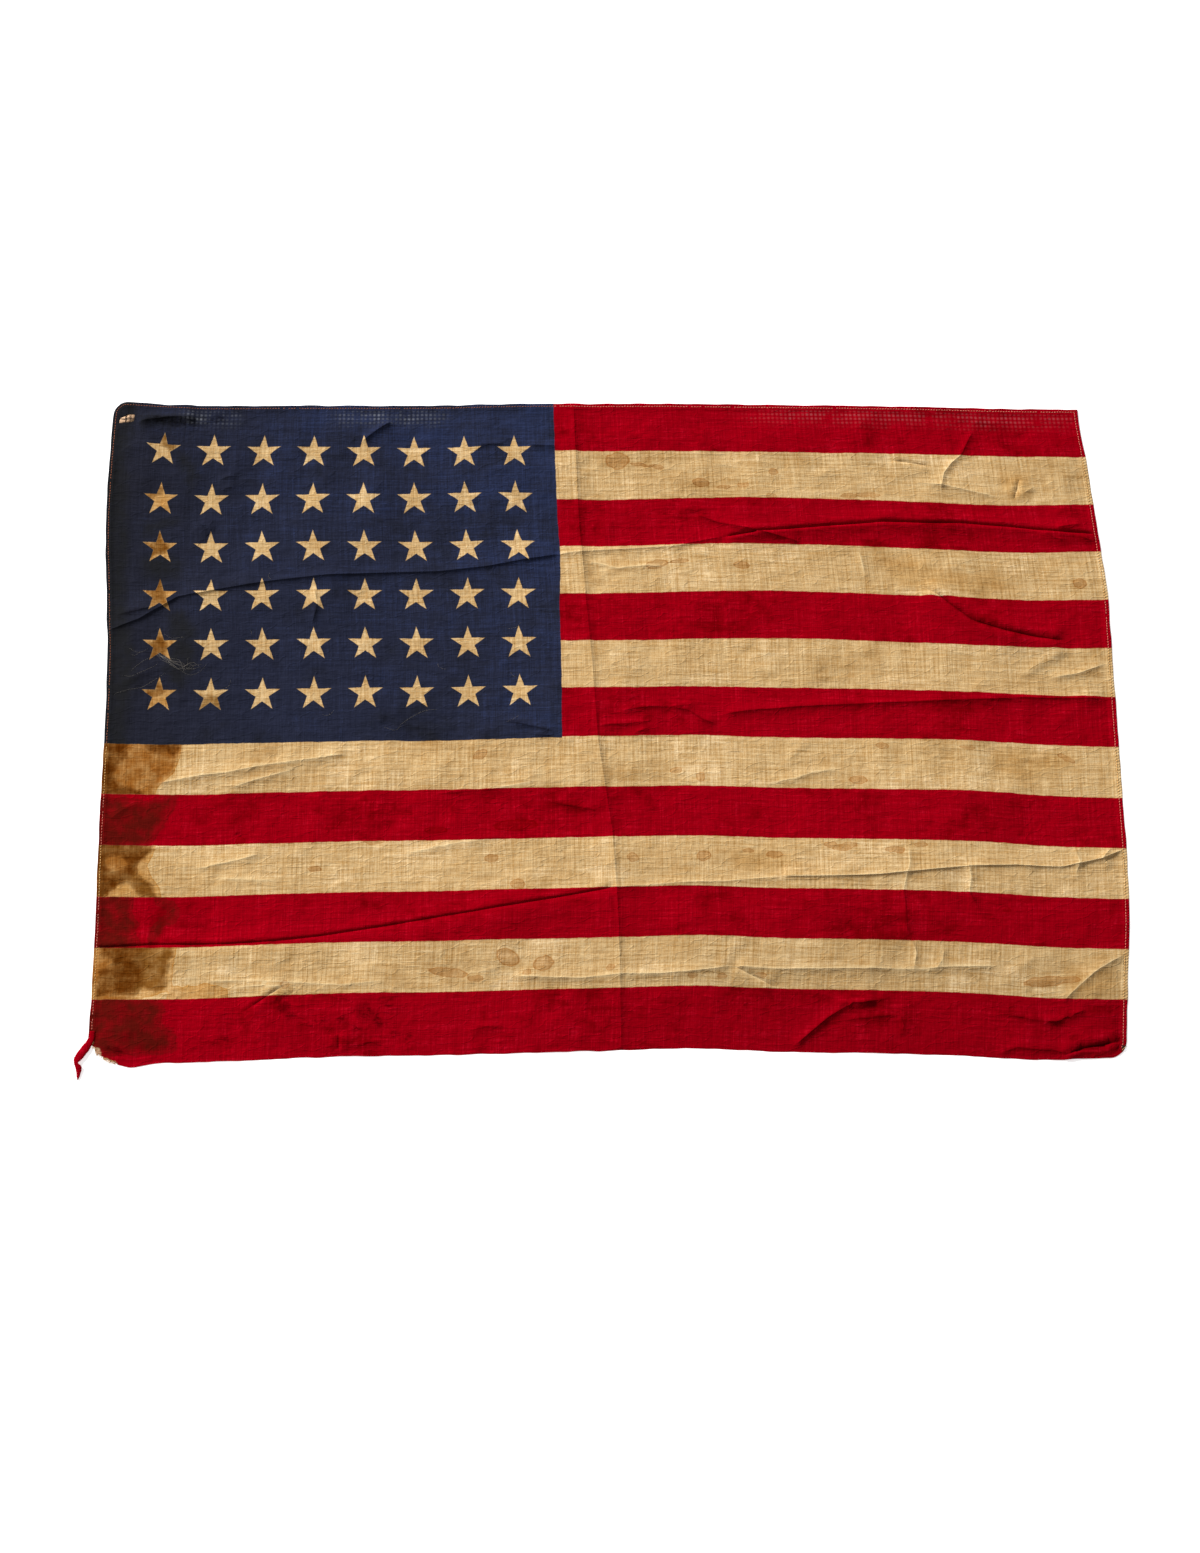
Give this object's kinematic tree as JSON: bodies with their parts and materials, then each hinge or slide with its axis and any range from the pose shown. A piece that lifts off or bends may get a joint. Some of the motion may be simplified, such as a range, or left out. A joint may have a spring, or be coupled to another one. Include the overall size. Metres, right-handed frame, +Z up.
{
  "type": "worn printed cotton flag",
  "caption": "Worn printed cotton flag laid out flat, with storage folds, narrow sewn hems, worn corners, a torn corner and a hanging strip of hem.",
  "frame": {"origin": "centre of the bounding box, on the surface the cloth lies on", "axes": "+X along the fly, from the hoist end to the free end; +Y towards the top edge with the stars; +Z up off the table"},
  "size_m": [0.926, 0.6368, 0.0044],
  "materials": {
    "printed_cotton": "matte thin plain-weave cotton, printed in crimson and navy on cream that has aged to tan",
    "hem_thread": "matte cotton sewing thread, faded salmon to rust",
    "bare_yarn": "matte loose cotton yarn, tan and dyed"
  },
  "bodies": {
    "root": {"flag_cloth": "printed_cotton"}
  },
  "joints": []
}
